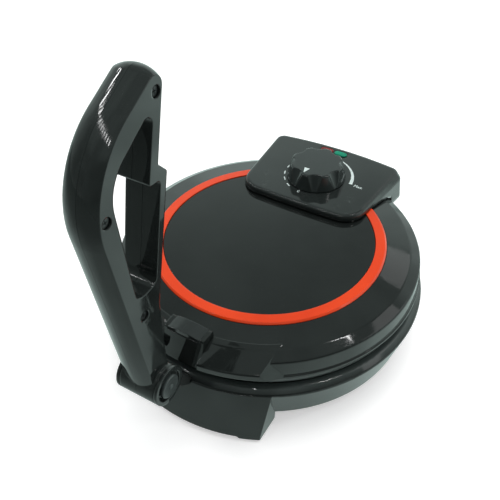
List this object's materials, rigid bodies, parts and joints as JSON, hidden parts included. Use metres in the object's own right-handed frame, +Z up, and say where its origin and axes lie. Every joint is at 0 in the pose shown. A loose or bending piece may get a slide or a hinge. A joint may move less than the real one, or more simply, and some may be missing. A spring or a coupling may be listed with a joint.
{
  "type": "flatbread maker",
  "caption": "Round countertop flatbread press with a hinged heated lid, a temperature knob and a tall upright press handle with a finger loop.",
  "frame": {"origin": "on the surface it stands on, below the centre of the round heating plates", "axes": "+Z up through the plates' centre, -Y towards the user and the press handle, +Y towards the lid hinge, +X to the user's right"},
  "size_m": [0.3132, 0.3946, 0.3583],
  "materials": {
    "shell_black": "gloss black moulding",
    "cover_black": "satin black moulding",
    "pad_rubber": "matt rubber",
    "cooking_plate": "cast aluminium with dark non-stick coating",
    "element_steel": "heat-darkened steel tube",
    "shield_steel": "pressed aluminised steel",
    "screw_steel": "zinc plated",
    "screw_black": "black oxide",
    "terminal_nylon": "natural nylon",
    "bracket_black": "satin black paint",
    "pin_steel": "ground steel",
    "block_black": "gloss black moulding",
    "press_pad": "smooth hard rubber",
    "ring_orange": "orange-red gloss moulding",
    "panel_black": "polished black panel",
    "housing_black": "semi-gloss black moulding",
    "thermostat_steel": "plain steel",
    "lens_red": "translucent red lens",
    "lens_green": "translucent green lens",
    "knob_black": "semi-gloss black moulding",
    "handle_black": "gloss black moulding",
    "cam_nylon": "black nylon",
    "cap_grey": "dark grey moulding"
  },
  "bodies": {
    "base": {"base_shell": "shell_black", "base_bottom_cover": "cover_black", "foot_pads": "pad_rubber", "lower_plate": "cooking_plate", "lower_element": "element_steel", "lower_heat_shield": "shield_steel", "lower_plate_screws": "screw_steel", "base_screws": "screw_steel", "bracket_screws": "screw_steel", "terminal_block": "terminal_nylon", "handle_bracket": "bracket_black", "hinge_bracket": "cover_black", "hinge_pin": "pin_steel", "hinge_screws": "screw_steel"},
    "lid": {"lid_shell": "shell_black", "press_block": "block_black", "press_block_screws": "screw_steel", "press_pad": "press_pad", "trim_ring": "ring_orange", "lid_centre_panel": "panel_black", "upper_plate": "cooking_plate", "upper_element": "element_steel", "upper_heat_shield": "shield_steel", "upper_plate_screws": "screw_steel", "control_cover_bottom": "housing_black", "control_cover_top": "housing_black", "control_screws": "screw_steel", "cord_gland": "pad_rubber", "thermostat": "thermostat_steel", "thermostat_nut": "screw_steel", "lamp_red": "lens_red", "lamp_green": "lens_green"},
    "knob": {"knob": "knob_black", "thermostat_spindle": "pin_steel"},
    "handle": {"handle_left_shell": "handle_black", "handle_right_shell": "handle_black", "handle_screws": "screw_black", "press_cam": "cam_nylon", "handle_pivot_pin": "pin_steel", "pivot_caps": "cap_grey"}
  },
  "joints": [
    {"name": "lid_hinge", "type": "hinge", "parent": "base", "child": "lid", "pos_m": [0, 0.16, 0.07], "axis": [-1, 0, 0], "range_deg": [0, 95]},
    {"name": "handle_hinge", "type": "hinge", "parent": "base", "child": "handle", "pos_m": [0, -0.195, 0.102], "axis": [-1, 0, 0], "range_deg": [-25, 60]},
    {"name": "knob_turn", "type": "hinge", "parent": "lid", "child": "knob", "pos_m": [0, 0.1035, 0.1128], "axis": [0, 0, -1], "range_deg": [0, 270]}
  ]
}
